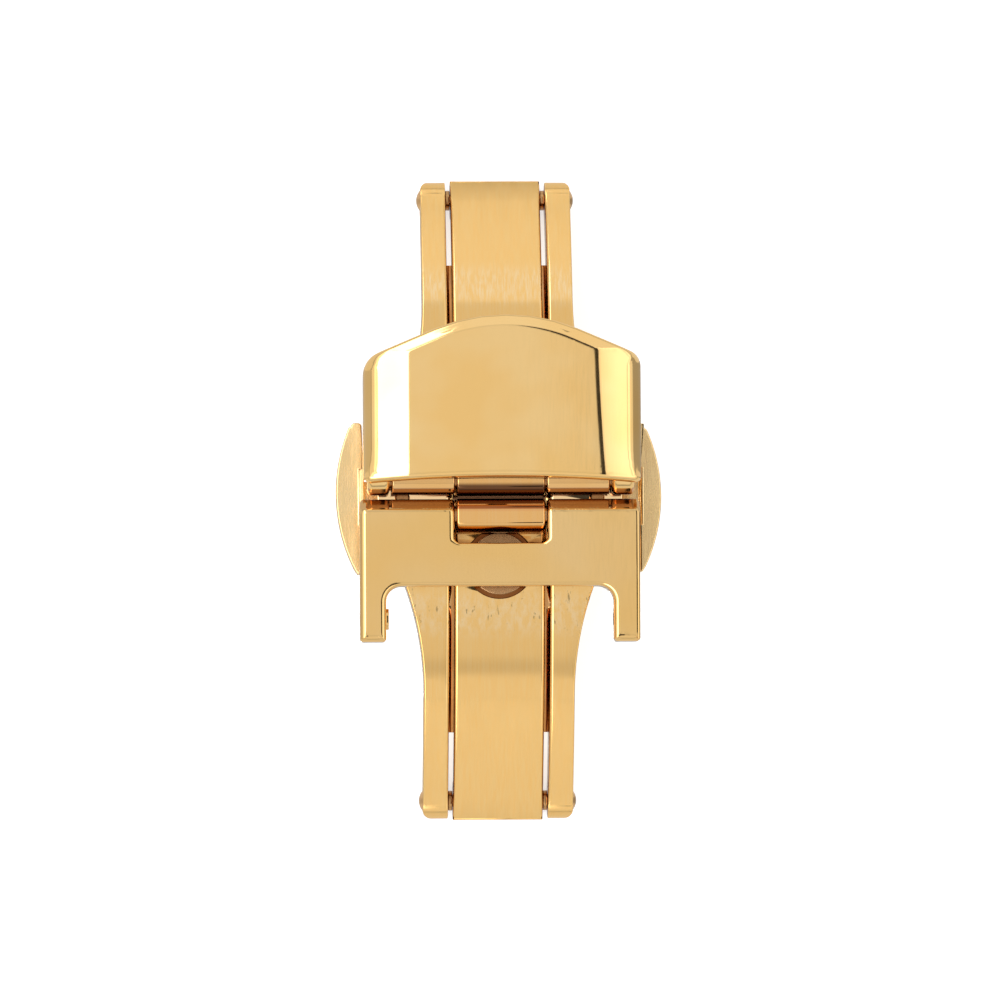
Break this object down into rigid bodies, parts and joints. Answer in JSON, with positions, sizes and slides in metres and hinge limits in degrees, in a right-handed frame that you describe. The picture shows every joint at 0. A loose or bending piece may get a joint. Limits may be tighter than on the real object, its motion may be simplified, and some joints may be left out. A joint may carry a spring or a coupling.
{
  "type": "deployant clasp",
  "caption": "Double-fold watch clasp: curved base, two folding blades with catches, side push-buttons, a hinged strap frame and a covered strap clamp.",
  "frame": {"origin": "under the middle of the closed clasp, on the surface that the rail ends stand on", "axes": "+X right, +Y along the clasp towards the strap clamp, +Z away from the wrist"},
  "size_m": [0.0232, 0.0462, 0.0136],
  "materials": {
    "gold_heads": "mirror-polished gold plating on steel",
    "gold_blades": "gold plating, brushed lengthwise towards the ends",
    "gold_base": "gold plating, brushed lengthwise on the rails",
    "gold_buttons": "satin gold plating with a bright bevel",
    "gold_pins": "polished gold plating",
    "gold_studs": "turned gold plating",
    "steel_screws": "turned steel",
    "steel_inside": "turned steel",
    "spring_wire": "drawn spring wire"
  },
  "bodies": {
    "base": {"base_frame": "gold_base", "back_plate": "gold_base", "back_plate_screws": "steel_screws", "upper_end_pin": "gold_pins", "lower_end_pin": "gold_pins", "end_pin_washers": "gold_pins", "left_rest_post": "gold_pins", "right_rest_post": "gold_pins", "upper_catch_spring": "spring_wire", "lower_catch_spring": "spring_wire", "left_return_spring": "spring_wire", "right_return_spring": "spring_wire"},
    "left_button": {"left_button": "gold_buttons", "left_release_pins": "steel_inside"},
    "right_button": {"right_button": "gold_buttons", "right_release_pins": "steel_inside"},
    "upper_arm": {"upper_blade": "gold_blades", "upper_catch_stud": "gold_studs"},
    "lower_arm": {"lower_blade": "gold_blades", "lower_catch_stud": "gold_studs"},
    "frame": {"strap_frame": "gold_heads", "frame_hinge_pin": "gold_pins"},
    "clamp": {"strap_plate": "gold_heads", "strap_peg": "gold_pins", "cover_hinge_pin": "gold_pins"},
    "cover": {"cover": "gold_heads"}
  },
  "joints": [
    {"name": "upper_arm_hinge", "type": "hinge", "parent": "base", "child": "upper_arm", "pos_m": [0, 0.02168, 0.0013], "axis": [-1, 0, 0], "range_deg": [0, 150], "deforming": ["upper_catch_spring"]},
    {"name": "lower_arm_hinge", "type": "hinge", "parent": "base", "child": "lower_arm", "pos_m": [0, -0.02168, 0.0013], "axis": [1, 0, 0], "range_deg": [0, 150], "deforming": ["lower_catch_spring"]},
    {"name": "frame_hinge", "type": "hinge", "parent": "lower_arm", "child": "frame", "pos_m": [0, -0.0015, 0.01075], "axis": [-1, 0, 0], "range_deg": [0, 70]},
    {"name": "clamp_hinge", "type": "hinge", "parent": "upper_arm", "child": "clamp", "pos_m": [0, 0.00108, 0.01075], "axis": [1, 0, 0], "range_deg": [0, 50]},
    {"name": "cover_hinge", "type": "hinge", "parent": "clamp", "child": "cover", "pos_m": [0, 0.00108, 0.01075], "axis": [1, 0, 0], "range_deg": [0, 50]},
    {"name": "left_button_press", "type": "slide", "parent": "base", "child": "left_button", "axis": [1, 0, 0], "range_m": [0, 0.0006], "stiffness_N_per_m": 1000, "deforming": ["left_return_spring"]},
    {"name": "right_button_press", "type": "slide", "parent": "base", "child": "right_button", "axis": [-1, 0, 0], "range_m": [0, 0.0006], "stiffness_N_per_m": 1000, "deforming": ["right_return_spring"]}
  ]
}
